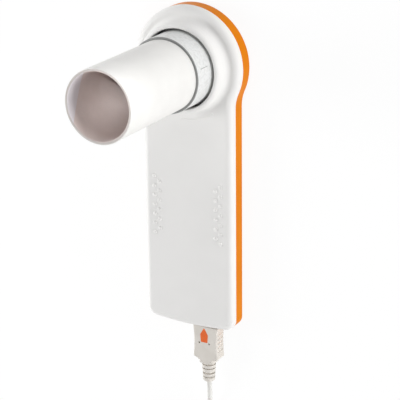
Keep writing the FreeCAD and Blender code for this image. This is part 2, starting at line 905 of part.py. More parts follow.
cable_radius = cable_diameter / 2
coil_middle_radius = coil_diameter / 2
coil_inner_radius = coil_middle_radius - coil_columns * cable_radius
coil_outer_radius = coil_middle_radius + coil_columns * cable_radius
coil_height = coil_layers * cable_diameter
last_turn_radius = coil_outer_radius - cable_radius
coil_side_x = coil_centre[0] + last_turn_radius

# The stretch from the plug, down to the table and out of sight, then into the coil's outer side
lead_route = [
    (plug_x, relief_back, moulding_centre_height),
    (plug_x + 0.1, relief_back - 4.6, 4.6),
    (5.6, relief_back - 11.0, 2.9),
    (4.4, relief_back - 18.5, cable_radius + 0.15),
    (3.5, relief_back - 27.0, cable_radius),
    (coil_side_x - 0.1, relief_back - 35.5, cable_radius),
    (coil_side_x, coil_centre[1], cable_radius),
]

# The stretch from the coil's uppermost turn down to the far plug beside it
far_height = far_body_thickness / 2
far_relief_tip = (-20.0, -163.2)
tail_route = [
    (2.2, -147.6, coil_height - cable_radius),
    (0.4, -152.6, 7.3),
    (-3.3, -157.7, 6.3),
    (-8.4, -161.3, 5.2),
    (-14.4, far_relief_tip[1], far_height + 0.3),
    (far_relief_tip[0], far_relief_tip[1], far_height),
]


def tube_path(points):
    """Straight runs joined by arcs as large as their runs allow, and the arcs' radii."""
    places = [point(*p) for p in points]
    edges = []
    radii = []
    start = places[0]
    for before, here, after in zip(places, places[1:], places[2:]):
        u = (before - here).normalize()
        v = (after - here).normalize()
        turn = math.pi - u.getAngle(v)
        shorter = min((before - here).Length, (after - here).Length)
        radius = 0.45 * shorter / math.tan(turn / 2)
        reach = 0.45 * shorter
        first = here + u * reach
        last = here + v * reach
        inward = (u + v).normalize()
        middle = here + inward * (radius / math.cos(turn / 2) - radius)
        edges.append(Part.LineSegment(start, first).toShape())
        edges.append(Part.Arc(first, middle, last).toShape())
        radii.append(radius)
        start = last
    edges.append(Part.LineSegment(start, places[-1]).toShape())
    return Part.Wire(edges), radii


def make_tube(name, points):
    path, radii = tube_path(points)
    first = point(*points[0])
    direction = point(*points[1]) - first
    section = Part.Wire(Part.Circle(first, direction, cable_radius).toShape())
    tube = path.makePipeShell([section], True, False)
    expected = math.pi * cable_radius ** 2 * path.Length
    shown = ", ".join(f"{r:.1f}" for r in radii)
    print(f"{name}: length {path.Length:.1f}, radii {shown}, volume {tube.Volume:.1f} of {expected:.1f}")
    return tube


def make_coil():
    x, y = coil_centre
    return revolved([
        (coil_inner_radius, 0.0),
        (coil_outer_radius, 0.0),
        (coil_outer_radius, coil_height),
        (coil_inner_radius, coil_height),
    ], x, y)


def make_tie():
    """A strap wrapped once round the coil's turns."""
    x, y = coil_centre
    t = tie_thickness
    outer = centred_block(
        (coil_outer_radius - coil_inner_radius + 2 * t, tie_width, coil_height + t),
        (x + coil_middle_radius, y, (coil_height + t) / 2))
    long_edges = [e for e in outer.Edges if abs(e.Vertexes[0].Y - e.Vertexes[-1].Y) > 1]
    outer = outer.makeFillet(tie_rounding, long_edges)
    inner = centred_block(
        (coil_outer_radius - coil_inner_radius, tie_width + 2, coil_height - t),
        (x + coil_middle_radius, y, (coil_height + t) / 2))
    return turned(outer.cut(inner), tie_angle, coil_centre)


# Far plug: its axis runs towards -X from the strain relief's thin end

far_body_start = far_relief_tip[0] - far_relief_length
far_shell_start = far_body_start - far_body_length
far_y = far_relief_tip[1]


def make_far_moulding():
    body = centred_block(
        (far_body_length, far_body_width, far_body_thickness),
        (far_body_start - far_body_length / 2, far_y, far_height))
    long_edges = [e for e in body.Edges if abs(e.Vertexes[0].X - e.Vertexes[-1].X) > 1]
    body = body.makeFillet(far_body_edge, long_edges)
    end_edges = [e for e in body.Edges if all(abs(v.X - far_body_start) < 1e-4 for v in e.Vertexes)]
    body = body.makeFillet(far_end_rounding, end_edges)
    pocket = centred_block(
        (2 * far_shell_root, far_shell_width, far_shell_height), (far_shell_start, far_y, far_height))
    return body.cut(pocket)


def make_far_shell():
    start = far_shell_start + far_shell_root
    length = far_shell_length + far_shell_root
    middle_x = start - length / 2
    outer = centred_block((length, far_shell_width, far_shell_height), (middle_x, far_y, far_height))
    inner = centred_block(
        (length + 2, far_shell_width - 2 * sheet_thickness, far_shell_height - 2 * sheet_thickness),
        (middle_x, far_y, far_height))
    shell = outer.cut(inner)
    for side in (-1, 1):
        window = centred_block(
            (far_window_size, far_window_size, 20),
            (far_shell_start - far_shell_length / 2, far_y + side * far_window_spacing / 2, far_height))
        shell = shell.cut(window)
    return shell


def make_far_core():
    start = far_shell_start + far_shell_root
    inner_height = far_shell_height - 2 * sheet_thickness
    inner_width = far_shell_width - 2 * sheet_thickness
    back_size = (2 * far_shell_root, inner_width, inner_height)
    back = centred_block(back_size, (far_shell_start, far_y, far_height))
    length = far_shell_length + far_shell_root - far_core_clearance
    blade_height = far_height - inner_height / 2 + far_core_height / 2
    blade = centred_block((length, inner_width, far_core_height), (start - length / 2, far_y, blade_height))
    return joined([back, blade])


def make_far_contacts():
    low = far_height - far_shell_height / 2 + sheet_thickness + far_core_height
    strips = []
    for i in range(far_contact_count):
        y = far_y + (i - (far_contact_count - 1) / 2) * far_contact_pitch
        reach = far_shell_length - far_shell_root - far_core_clearance - far_contact_setback
        strips.append(centred_block(
            (reach, far_contact_width, contact_thickness),
            (far_shell_start - far_shell_root - reach / 2, y, low + contact_thickness / 2)))
    return Part.makeCompound(strips)


# Turbine

def make_turbine_tube():
    tube = revolved(bevelled([
        (flow_radius, tube_bottom),
        (tube_radius, tube_bottom),
        (tube_radius, socket_top),
        (collar_radius, socket_top),
        (collar_radius, collar_top, collar_bevel),
        (collar_bore_radius, collar_top, collar_bevel),
        (collar_bore_radius, mouth_seat),
        (flow_radius, mouth_seat),
    ]))
    return joined([tube] + socket_keys(0.0, socket_top))


def socket_keys(clearance, top):
    """Two bars along the tube, on its left and right, that keep it from turning in the socket."""
    keys = []
    half = key_width / 2 + clearance
    outer = tube_radius + key_height + clearance
    for side in (-1, 1):
        inner = tube_radius - 0.5
        low_x = min(side * inner, side * outer)
        keys.append(block((low_x, head_y - half, key_bottom - clearance),
                          (low_x + outer - inner, head_y + half, top)))
    return keys


def make_turbine_socket():
    socket = revolved([
        (socket_bore_radius, wall),
        (socket_flange_radius, wall),
        (socket_flange_radius, wall + socket_flange_height),
        (socket_radius, wall + socket_flange_height),
        (socket_radius, socket_top),
        (socket_bore_radius, socket_top),
    ])
    for key in socket_keys(key_clearance, socket_top + 1):
        socket = socket.cut(key)
    return socket


def make_blade(start, rise, hand):
    """A curved plate from hub to ring. It starts upright and curls over to one side as it nears the rotor."""
    inner = hub_radius - blade_overlap
    outer = flow_radius - swirler_ring_wall + blade_overlap
    curl = math.radians(blade_curl)
    radius = abs(rise) / math.sin(curl) - blade_thickness / 2
    faces = []
    for r in (radius - blade_thickness / 2, radius + blade_thickness / 2):
        places = []
        for part in (0.0, 0.5, 1.0):
            aside = hand * (radius - r * math.cos(part * curl))
            along = math.copysign(r * math.sin(part * curl), rise)
            places.append(point(inner, head_y + aside, start + along))
        faces.append(places)
    near, far = faces
    edges = [
        Part.Arc(*near).toShape(),
        Part.LineSegment(near[2], far[2]).toShape(),
        Part.Arc(*far).toShape(),
        Part.LineSegment(far[0], near[0]).toShape(),
    ]
    section = Part.Face(Part.Wire(Part.__sortEdges__(edges)))
    return section.extrude(point(outer - inner, 0, 0))


def make_swirler(bottom, hand, bearing_at_top):
    """A ring, a hub with a bearing pocket, and curved blades that turn the air, in one moulding."""
    top = bottom + swirler_height
    outer = flow_radius - swirler_fit
    inner = flow_radius - swirler_ring_wall
    ring = cylinder(outer, bottom, top, 0, head_y).cut(cylinder(inner, bottom - 1, top + 1, 0, head_y))
    hub = cylinder(hub_radius, bottom, top, 0, head_y)
    free_end = bottom if bearing_at_top else top
    hub = hub.makeChamfer(hub_bevel, edges_at(hub, free_end))
    rise = swirler_height - 2 * blade_setback
    if bearing_at_top:
        blade = make_blade(bottom + blade_setback, rise, hand)
    else:
        blade = make_blade(top - blade_setback, -rise, hand)
    blades = [turned(blade, i * 360.0 / swirler_blades) for i in range(swirler_blades)]
    swirler = joined([ring, hub] + blades)
    pocket_low = top - bearing_height if bearing_at_top else bottom
    return swirler.cut(cylinder(bearing_radius, pocket_low, pocket_low + bearing_height, 0, head_y))


def make_bearing(low, opens_up):
    bearing = cylinder(bearing_radius, low, low + bearing_height, 0, head_y)
    bore_low = low + bearing_height - pivot_depth if opens_up else low - 1
    bore = cylinder(axle_radius + pivot_clearance, bore_low, bore_low + pivot_depth + 1, 0, head_y)
    return bearing.cut(bore)


def make_vane():
    """A thin flat blade right across the tube, with rounded tips and a hub for its axle."""
    tip = flow_radius - vane_tip_clearance
    half = vane_thickness / 2
    places = ((-tip, vane_low), (tip, vane_low), (tip, vane_high), (-tip, vane_high))
    plate = prism_along([(x, z, vane_tip_rounding) for x, z in places], head_y - half, head_y + half)
    vane = joined([plate, cylinder(vane_hub_radius, vane_low, vane_high, 0, head_y)])
    return vane.cut(cylinder(axle_radius, 0, body_depth * 2, 0, head_y))


def make_axle():
    low = rear_swirler_top - pivot_depth + pivot_end_play
    high = front_swirler_bottom + pivot_depth - pivot_end_play
    return cylinder(axle_radius, low, high, 0, head_y)


def make_mouthpiece():
    """A straight cardboard tube. The end in the collar is squeezed a little."""
    squeezed = collar_bore_radius - mouth_clearance
    inner = flow_radius
    step = collar_top + squeeze_reach
    return revolved(bevelled([
        (inner, mouth_seat),
        (squeezed, mouth_seat),
        (squeezed, step),
        (mouthpiece_radius, step),
        (mouthpiece_radius, mouthpiece_top, mouthpiece_bevel),
        (inner, mouthpiece_top, mouthpiece_bevel),
    ]))


os.makedirs("parts", exist_ok=True)

save("rear_cover", make_rear_cover())
save("front_shell", make_front_shell())
save("turbine_socket", make_turbine_socket())

case_screw = screw(case_screw_length, case_screw_radius, case_screw_head_radius, case_screw_head_height)
save("case_screws", screws_at(case_screw, case_screw_places(), case_screw_recess))
board_screw = screw(board_screw_length, board_screw_radius, board_screw_head_radius, board_screw_head_height)
save("board_screws", screws_at(board_screw, board_screw_places, board_bottom))

save("main_board", make_main_board())
save("sensor_board", make_sensor_board())
save("infrared_emitters", make_beam_parts(1))
save("infrared_receivers", make_beam_parts(-1))
save("temperature_sensor", make_temperature_sensor())
save("link_header", make_link_header())
save("main_chip", make_chip(
    main_chip_place[0], board_top_y - main_chip_place[1], main_chip_size, main_chip_legs, 4))
interface_chip_y = board_bottom_y + interface_chip_place[1]
save("interface_chip", make_chip(
    interface_chip_place[0], interface_chip_y, interface_chip_size, interface_chip_legs, 2))
save("crystal", centred_block(
    crystal_size, (crystal_place[0], board_top_y - crystal_place[1], board_bottom - crystal_size[2] / 2)))
save("small_board_parts", make_small_parts())

save("receptacle_shell", make_receptacle_shell())
save("receptacle_tongue", make_receptacle_tongue())
save("receptacle_contacts", make_receptacle_contacts())

save("turbine_tube", make_turbine_tube())
save("rear_swirler", make_swirler(rear_swirler_bottom, 1, True))
save("front_swirler", make_swirler(front_swirler_bottom, -1, False))
save("rear_bearing", make_bearing(rear_swirler_top - bearing_height, True))
save("front_bearing", make_bearing(front_swirler_bottom, False))
save("rotor_vane", make_vane())
save("rotor_axle", make_axle())
save("mouthpiece_tube", make_mouthpiece())

save("plug_shell", make_plug_shell())
save("plug_core", make_plug_core())
save("plug_contacts", make_plug_contacts())
save("plug_moulding", make_moulding())
save("plug_arrow", arrow_prism(arrow_stand))
save("plug_strain_relief", make_relief(
    plug_x, neck_back, relief_length, relief_start_width, relief_end_width, moulding_centre_height, (0, -1)))
save("cable_lead", make_tube("cable_lead", lead_route))
save("cable_coil", make_coil())
save("cable_tie", make_tie())
save("cable_tail", make_tube("cable_tail", tail_route))
save("far_strain_relief", make_relief(
    far_body_start, far_y, far_relief_length, far_relief_start, far_relief_end, far_height, (1, 0)))
save("far_moulding", make_far_moulding())
save("far_shell", make_far_shell())
save("far_core", make_far_core())
save("far_contacts", make_far_contacts())
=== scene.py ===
import math

import bmesh
import bpy
from mathutils import Matrix, Vector


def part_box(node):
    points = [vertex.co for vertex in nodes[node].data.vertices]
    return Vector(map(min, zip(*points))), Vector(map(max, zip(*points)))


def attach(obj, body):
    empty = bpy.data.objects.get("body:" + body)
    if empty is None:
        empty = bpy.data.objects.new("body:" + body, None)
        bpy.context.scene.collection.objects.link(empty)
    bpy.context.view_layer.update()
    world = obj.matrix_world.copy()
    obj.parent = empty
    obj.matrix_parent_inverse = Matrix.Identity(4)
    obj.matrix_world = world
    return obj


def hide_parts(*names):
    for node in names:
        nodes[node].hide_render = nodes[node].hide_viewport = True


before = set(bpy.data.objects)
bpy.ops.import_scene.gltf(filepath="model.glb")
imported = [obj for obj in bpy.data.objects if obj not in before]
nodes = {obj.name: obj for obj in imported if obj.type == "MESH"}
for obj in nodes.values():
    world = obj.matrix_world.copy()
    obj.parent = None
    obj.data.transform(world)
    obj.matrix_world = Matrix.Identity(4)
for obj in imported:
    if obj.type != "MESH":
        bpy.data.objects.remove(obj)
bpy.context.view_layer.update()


# Camera: a long lens looks down on the handset from its right side and head end, so that the mouthpiece
# points to the viewer's lower left.

camera = bpy.data.objects.new("camera", bpy.data.cameras.new("camera"))
bpy.context.scene.collection.objects.link(camera)
camera_right = Vector((0.87105, -0.01090, -0.49107))
camera_up = Vector((-0.15985, 0.93903, -0.30439))
camera_back = Vector((0.46445, 0.34364, 0.81621))
camera_place = (0.3163, 0.2179, 0.5558)
camera_turn = Matrix((camera_right, camera_up, camera_back)).transposed().to_4x4()
camera.matrix_world = Matrix.Translation(camera_place) @ camera_turn
camera.data.sensor_width = 36.0
camera.data.lens = 142.55
camera.data.clip_start = 0.01
bpy.context.scene.camera = camera


# Floor, world and lamps: a white table top under a soft white studio. The floor and the world are white
# to the eye, and the floor keeps the object's soft shadow.

scene = bpy.context.scene
scene.view_settings.view_transform = "Standard"

world_light = 0.36
world_tint = (0.98, 0.985, 1.0, 1.0)
plain_white = (1.0, 1.0, 1.0, 1.0)
floor_grey = (0.85, 0.85, 0.85, 1.0)
floor_glow = 1.03
floor_shadow_share = 0.10
floor_reach = 3.0


def colour(red, green, blue):
    """A colour from its red, green and blue on a screen, each 0 to 255."""
    linear = []
    for part in (red / 255.0, green / 255.0, blue / 255.0):
        linear.append(part / 12.92 if part <= 0.04045 else ((part + 0.055) / 1.055) ** 2.4)
    return (*linear, 1.0)


def new_material(name):
    """A node material, its tree of nodes and its surface shader."""
    material = bpy.data.materials.new(name)
    material.use_nodes = True
    tree = material.node_tree
    return material, tree, tree.nodes["Principled BSDF"]


def add_node(tree, kind, inputs=(), **settings):
    """A node of that kind. Inputs maps a socket to a value or to the output that feeds it."""
    node = tree.nodes.new(kind)
    for key, value in settings.items():
        setattr(node, key, value)
    for key, value in dict(inputs).items():
        if isinstance(value, bpy.types.NodeSocket):
            tree.links.new(value, node.inputs[key])
        else:
            node.inputs[key].default_value = value
    return node


def calculate(tree, operation, *values):
    """The result of one sum on numbers or outputs."""
    return add_node(tree, "ShaderNodeMath", dict(enumerate(values)), operation=operation).outputs[0]


def seen_ray(tree):
    """1 for rays seen straight, off gloss or through glass, and 0 for light that falls on the object."""
    path = add_node(tree, "ShaderNodeLightPath")
    seen = calculate(tree, "MAXIMUM", path.outputs["Is Camera Ray"], path.outputs["Is Glossy Ray"])
    return calculate(tree, "MAXIMUM", seen, path.outputs["Is Transmission Ray"])


world = bpy.data.worlds.new("studio")
world.use_nodes = True
scene.world = world
tree = world.node_tree
tree.nodes.clear()
ambient = add_node(tree, "ShaderNodeBackground", {"Color": world_tint, "Strength": world_light})
backdrop = add_node(tree, "ShaderNodeBackground", {"Color": plain_white, "Strength": 1.0})
choice = add_node(tree, "ShaderNodeMixShader",
                  {0: seen_ray(tree), 1: ambient.outputs[0], 2: backdrop.outputs[0]})
add_node(tree, "ShaderNodeOutputWorld", {"Surface": choice.outputs[0]})

floor_mesh = bpy.data.meshes.new("floor")
floor_corners = [(x * floor_reach, y * floor_reach, 0.0) for x, y in ((-1, -1), (1, -1), (1, 1), (-1, 1))]
floor_mesh.from_pydata(floor_corners, [], [(0, 1, 2, 3)])
floor = bpy.data.objects.new("floor", floor_mesh)
scene.collection.objects.link(floor)

floor_paint, tree, shader = new_material("floor_paint")
shader.inputs["Base Color"].default_value = floor_grey
shader.inputs["Roughness"].default_value = 0.9
shader.inputs["Specular IOR Level"].default_value = 0.1
white = add_node(tree, "ShaderNodeEmission", {"Color": plain_white, "Strength": floor_glow})
share = calculate(tree, "MULTIPLY", seen_ray(tree), 1.0 - floor_shadow_share)
mix = add_node(tree, "ShaderNodeMixShader", {0: share, 1: shader.outputs[0], 2: white.outputs[0]})
tree.links.new(mix.outputs[0], tree.nodes["Material Output"].inputs["Surface"])
floor_mesh.materials.append(floor_paint)


def softbox(name, place, aim, size, power):
    """A rectangular area lamp, its size in metres and its power in watts, aimed at a point."""
    lamp = bpy.data.lights.new(name, "AREA")
    lamp.shape = "RECTANGLE"
    lamp.size, lamp.size_y = size
    lamp.energy = power
    thing = bpy.data.objects.new(name, lamp)
    thing.location = place
    thing.rotation_euler = (Vector(aim) - Vector(place)).to_track_quat("-Z", "Y").to_euler()
    scene.collection.objects.link(thing)


softbox("right_box", (0.90, -0.04, 0.13), (0.0, -0.02, 0.02), (0.9, 0.22), 5.6)
softbox("left_box", (-0.85, 0.0, 0.40), (0.0, 0.0, 0.02), (0.5, 0.5), 6.7)
softbox("head_box", (0.30, 0.87, 0.20), (0.0, 0.05, 0.03), (0.7, 0.3), 1.8)
softbox("foot_box", (0.05, -0.90, 0.50), (0.0, 0.0, 0.02), (0.6, 0.4), 2.5)

# A narrow lamp shines down the mouthpiece along the camera's line of sight, so that its inside shows.
mouth_spot = (0.0048, 0.0502, 0.0771)
mouth_lamp_far = 0.6
mouth_lamp_reach = 0.0125
mouth_lamp_power = 15.0
mouth_lamp_radius = 0.01
snoot = bpy.data.lights.new("mouth_lamp", "SPOT")
snoot.energy = mouth_lamp_power
snoot.spot_size = 2 * math.atan(mouth_lamp_reach / mouth_lamp_far)
snoot.spot_blend = 0.9
snoot.shadow_soft_size = mouth_lamp_radius
mouth_lamp = bpy.data.objects.new("mouth_lamp", snoot)
mouth_lamp.location = Vector(mouth_spot) + camera_back * mouth_lamp_far
mouth_lamp.rotation_euler = camera_back.to_track_quat("Z", "Y").to_euler()
scene.collection.objects.link(mouth_lamp)


# Cable: soft grey round cord, 2.2 mm thick. It leaves the plug, drops to the table and runs out of sight,
# where its whole length is wound in sixteen turns, and ends in a flat plug.

cable_diameter = 0.0022
cable_radius = cable_diameter / 2
coil_centre = (-0.0133, -0.1420)
coil_diameter = 0.0264
coil_columns = 4
coil_layers = 4
turn_points = 24
outer_turn_radius = coil_diameter / 2 + (coil_columns - 1) * cable_radius
coil_side_x = coil_centre[0] + outer_turn_radius
coil_height = coil_layers * cable_diameter
relief_back = -0.0982
plug_x = 0.0065
plug_axis_height = 0.005

lead_route = [
    (plug_x, relief_back, plug_axis_height),
    (plug_x + 0.0001, relief_back - 0.0046, 0.0046),
    (0.0056, relief_back - 0.0110, 0.0029),
    (0.0044, relief_back - 0.0185, cable_radius + 0.00015),
    (0.0035, relief_back - 0.0270, cable_radius),
    (coil_side_x - 0.0001, relief_back - 0.0355, cable_radius),
    (coil_side_x, coil_centre[1], cable_radius),
]
far_tip = (-0.0200, -0.1632, 0.0038)
tail_route = [
    (0.0022, -0.1476, coil_height - cable_radius),
    (0.0004, -0.1526, 0.0073),
    (-0.0033, -0.1577, 0.0063),
    (-0.0084, -0.1613, 0.0052),
    (-0.0144, far_tip[1], far_tip[2] + 0.0003),
    far_tip,
]

# Each layer keeps its first column for half a turn, crosses to its last one, and climbs in its last half.
coil_turns = []
start_angle = -10.0
end_angle = -20.0
half_turn = 0.5
crossing_rate = 0.999
whole_turns = coil_columns * coil_layers
sweep = 360.0 * whole_turns + (start_angle - end_angle)
steps = int(sweep / 360.0 * turn_points)
for step in range(steps + 1):
    angle = math.radians(start_angle - sweep * step / steps)
    done = whole_turns * step / steps
    layer = min(coil_layers - 1, int(done / coil_columns))
    inside_layer = done - layer * coil_columns
    crossed = max(0.0, inside_layer - half_turn) * coil_columns / (coil_columns - half_turn) * crossing_rate
    crossed = min(coil_columns - 1.0, crossed)
    column = crossed if layer % 2 == 0 else coil_columns - 1.0 - crossed
    climb = 0.0
    if layer < coil_layers - 1:
        climb = min(1.0, max(0.0, (inside_layer - (coil_columns - half_turn)) / half_turn))
    radius = outer_turn_radius - column * cable_diameter
    height = cable_radius + (layer + climb) * cable_diameter
    coil_turns.append((coil_centre[0] + radius * math.cos(angle),
                       coil_centre[1] + radius * math.sin(angle), height))

cable_points = lead_route + coil_turns + tail_route
cable_curve = bpy.data.curves.new("cable", "CURVE")
cable_curve.dimensions = "3D"
spline = cable_curve.splines.new("NURBS")
spline.points.add(len(cable_points) - 1)
for spot, place in zip(spline.points, cable_points):
    spot.co = (*place, 1.0)
    spot.radius = cable_radius
spline.order_u = 3
spline.use_endpoint_u = True
spline.resolution_u = 3
# The bevel's depth of 1 is scaled by the radius at each point, which is the cable's own.
cable_curve.bevel_depth = 1.0
cable_curve.bevel_resolution = 5
cable_curve.use_fill_caps = True
cable = bpy.data.objects.new("cable", cable_curve)
scene.collection.objects.link(cable)
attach(cable, "cable")
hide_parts("cable_lead", "cable_coil", "cable_tail")


def new_group(name, inputs, outputs):
    """A group of shader nodes with named sockets, and its two end nodes."""
    group = bpy.data.node_groups.new(name, "ShaderNodeTree")
    for socket, value in inputs.items():
        kind = "NodeSocketFloat" if isinstance(value, float) else "NodeSocketColor"
        group.interface.new_socket(socket, in_out="INPUT", socket_type=kind).default_value = value
    for socket, kind in outputs.items():
        group.interface.new_socket(socket, in_out="OUTPUT", socket_type=kind)
    return group, group.nodes.new("NodeGroupInput"), group.nodes.new("NodeGroupOutput")


def own_place(tree):
    """Where a point of the surface is on the object, in metres."""
    return add_node(tree, "ShaderNodeTexCoord").outputs["Object"]


def noise(tree, place, scale, detail):
    """An uneven cloud from 0 to 1, finer as its scale is larger."""
    cloud = add_node(tree, "ShaderNodeTexNoise", {"Vector": place, "Scale": scale, "Detail": detail})
    return cloud.outputs[0]


def blended(tree, share, first, second):
    """Two colours mixed by a share from 0 to 1."""
    return add_node(tree, "ShaderNodeMix", {0: share, 6: first, 7: second}, data_type="RGBA").outputs[2]


def stepped(tree, value, low, high):
    """0 below low, 1 above high and a smooth rise between them."""
    return add_node(tree, "ShaderNodeMapRange", {"Value": value, "From Min": low, "From Max": high},
                    interpolation_type="SMOOTHSTEP").outputs[0]


def end_skin(skin, given, result, patches, uneven, height):
    """Patches mix a skin's two colours, an uneven cloud swings its roughness, and a height raises it."""
    share = stepped(skin, patches, 0.35, 0.75)
    tone = blended(skin, share, given.outputs["Colour"], given.outputs["Patch Colour"])
    swing = calculate(skin, "MULTIPLY", calculate(skin, "SUBTRACT", uneven, 0.5), given.outputs["Spread"])
    skin.links.new(tone, result.inputs["Colour"])
    skin.links.new(calculate(skin, "ADD", given.outputs["Roughness"], swing), result.inputs["Roughness"])
    skin.links.new(height, result.inputs["Height"])


# The skin of every moulded plastic piece: fine spark-eroded grain, with faint patches where it is a
# little duller or darker, as on any moulding that has been handled.
moulded_skin, given, result = new_group(
    "moulded_skin",
    {"Colour": colour(230, 230, 230), "Patch Colour": colour(220, 220, 220), "Roughness": 0.4,
     "Spread": 0.1, "Grain Scale": 3000.0, "Patch Scale": 70.0},
    {"Colour": "NodeSocketColor", "Roughness": "NodeSocketFloat", "Height": "NodeSocketFloat"})
place = own_place(moulded_skin)
grain = noise(moulded_skin, place, given.outputs["Grain Scale"], 2.0)
patches = noise(moulded_skin, place, given.outputs["Patch Scale"], 4.0)
end_skin(moulded_skin, given, result, patches, patches, grain)


def add_relief(tree, shader, relief, height):
    """Lets a height from 0 to 1 raise the surface by up to relief, in metres."""
    bump = add_node(tree, "ShaderNodeBump", {"Distance": relief, "Height": height})
    tree.links.new(bump.outputs[0], shader.inputs["Normal"])


def skinned(name, skin, relief, values, shader_values=()):
    """A material whose colour, roughness and relief, in metres, come from a group."""
    material, tree, shader = new_material(name)
    source = add_node(tree, "ShaderNodeGroup", values, node_tree=skin)
    tree.links.new(source.outputs["Colour"], shader.inputs["Base Color"])
    tree.links.new(source.outputs["Roughness"], shader.inputs["Roughness"])
    add_relief(tree, shader, relief, source.outputs["Height"])
    for key, value in dict(shader_values).items():
        shader.inputs[key].default_value = value
    return material


cable_jacket = skinned("cable_jacket", moulded_skin, 0.00001, {
    "Colour": colour(226, 225, 221), "Patch Colour": colour(218, 216, 211), "Roughness": 0.5, "Spread": 0.2,
    "Grain Scale": 4000.0, "Patch Scale": 200.0}, {"Specular IOR Level": 0.35})
cable_curve.materials.append(cable_jacket)


# Rear cover: the orange half of the case, injection moulded in glossy plastic. It is a flat tray whose
# wall shows as the orange edge round the handset, and four screws hold it to the front shell.

def dress(material, *names):
    """Gives CAD pieces their finish."""
    for name in names:
        mesh = nodes[name].data
        mesh.materials.clear()
        mesh.materials.append(material)


case_orange = skinned("case_orange", moulded_skin, 0.000004, {
    "Colour": colour(220, 127, 2), "Patch Colour": colour(216, 122, 1), "Roughness": 0.36, "Spread": 0.12,
    "Grain Scale": 2500.0, "Patch Scale": 60.0}, {"Specular IOR Level": 0.05})
dress(case_orange, "rear_cover")


# Front shell: the white half of the case, injection moulded with a fine satin grain. The ring round the
# turbine and the feet of the grip dots are part of the same moulding.

case_white = skinned("case_white", moulded_skin, 0.000006, {
    "Colour": colour(236, 235, 233), "Patch Colour": colour(233, 232, 230), "Roughness": 0.48, "Spread": 0.1,
    "Grain Scale": 2800.0, "Patch Scale": 45.0}, {"Specular IOR Level": 0.28})
dress(case_white, "front_shell")


# Grip dots: rounded tops of the raised dots, in two staggered columns on each side of the front face,
# moulded with the shell for the fingers to hold.

body_half_width = 0.0213
front_face = 0.011
handset_bottom = -0.071
dot_radius = 0.0009
dot_cover = 1.01
dot_foot = front_face + 0.00018
dot_rise = 0.00027
dot_pitch = 0.00425
dot_outer_x = body_half_width - 0.0053
dot_inner_x = dot_outer_x - 0.0023
dot_middle_y = handset_bottom + 0.054
dot_count = 7


def added_piece(name, shape, body, material):
    """A piece of the object made from a mesh that was built here, on its body, with its finish."""
    mesh = bpy.data.meshes.new(name)
    bmesh.ops.recalc_face_normals(shape, faces=shape.faces)
    shape.to_mesh(mesh)
    shape.free()
    mesh.materials.append(material)
    for face in mesh.polygons:
        face.use_smooth = True
    piece = bpy.data.objects.new(name, mesh)
    scene.collection.objects.link(piece)
    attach(piece, body)
    return piece


def add_dome(shape, x, y, foot, radius, height, corners=20, rings=5):
    """A low round cap that stands on its foot, closed underneath."""
    ball = (radius ** 2 + height ** 2) / (2 * height)
    spread = math.asin(radius / ball)
    top = shape.verts.new((x, y, foot + height))
    circles = []
    for ring in range(1, rings + 1):
        lean = spread * ring / rings
        away = ball * math.sin(lean)
        level = foot + height - ball * (1 - math.cos(lean))
        circles.append([shape.verts.new((x + away * math.cos(2 * math.pi * i / corners),
                                         y + away * math.sin(2 * math.pi * i / corners), level))
                        for i in range(corners)])
    for i in range(corners):
        after = (i + 1) % corners
        shape.faces.new((top, circles[0][i], circles[0][after]))
        for inner, outer in zip(circles, circles[1:]):
            shape.faces.new((inner[i], outer[i], outer[after], inner[after]))
    shape.faces.new(circles[-1][::-1])


dots = bmesh.new()
for column_x, count in ((dot_outer_x, dot_count), (dot_inner_x, dot_count - 1)):
    for row in range(count):
        for side in (-1, 1):
            add_dome(dots, side * column_x, dot_middle_y + (row - (count - 1) / 2) * dot_pitch,
                     dot_foot, dot_radius * dot_cover, dot_rise)
added_piece("grip_dot_tops", dots, "handset", case_white)


# Turning mark: a thin raised arc under the head with a dot at each end, moulded with the shell. It shows
# which way the turbine turns to lock.

mouth_low, mouth_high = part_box("mouthpiece_tube")
head_y = (mouth_low[1] + mouth_high[1]) / 2
mark_radius = 0.0229
mark_start = -96.0
mark_end = -57.0
mark_half_width = 0.00030
mark_top_half_width = mark_half_width * 0.6
mark_height = 0.00014
mark_steps = 40
mark_dot_radius = 0.0008
mark_dot_rise = 0.0002
mark_dot_sunk = 0.00003

mark = bmesh.new()
rows = []
for step in range(mark_steps + 1):
    a = math.radians(mark_start + (mark_end - mark_start) * step / mark_steps)
    row = []
    for across, level in ((-mark_half_width, -mark_height), (mark_half_width, -mark_height),
                          (mark_top_half_width, mark_height), (-mark_top_half_width, mark_height)):
        r = mark_radius + across
        row.append(mark.verts.new((r * math.cos(a), head_y + r * math.sin(a), front_face + level)))
    rows.append(row)
for first, second in zip(rows, rows[1:]):
    for i in range(4):
        mark.faces.new((first[i], first[(i + 1) % 4], second[(i + 1) % 4], second[i]))
mark.faces.new(rows[0][::-1])
mark.faces.new(rows[-1])
for angle in (mark_start, mark_end):
    a = math.radians(angle)
    add_dome(mark, mark_radius * math.cos(a), head_y + mark_radius * math.sin(a),
             front_face - mark_dot_sunk, mark_dot_radius, mark_dot_rise)
added_piece("turning_mark", mark, "handset", case_white)


# Turbine socket: a smoked sleeve inside the head, clear to infrared light and nearly black to the eye.
# The turbine's tube slides into it.

smoked_plastic = skinned("smoked_plastic", moulded_skin, 0.000003, {
    "Colour": colour(44, 36, 42), "Patch Colour": colour(38, 31, 37), "Roughness": 0.16, "Spread": 0.1,
    "Grain Scale": 1500.0, "Patch Scale": 90.0}, {"Coat Weight": 0.3})
dress(smoked_plastic, "turbine_socket")


# Turbine tube: clear plastic, moulded in one piece with the wide collar that holds the mouthpiece. Its
# outside is finely speckled, so that it looks frosted.

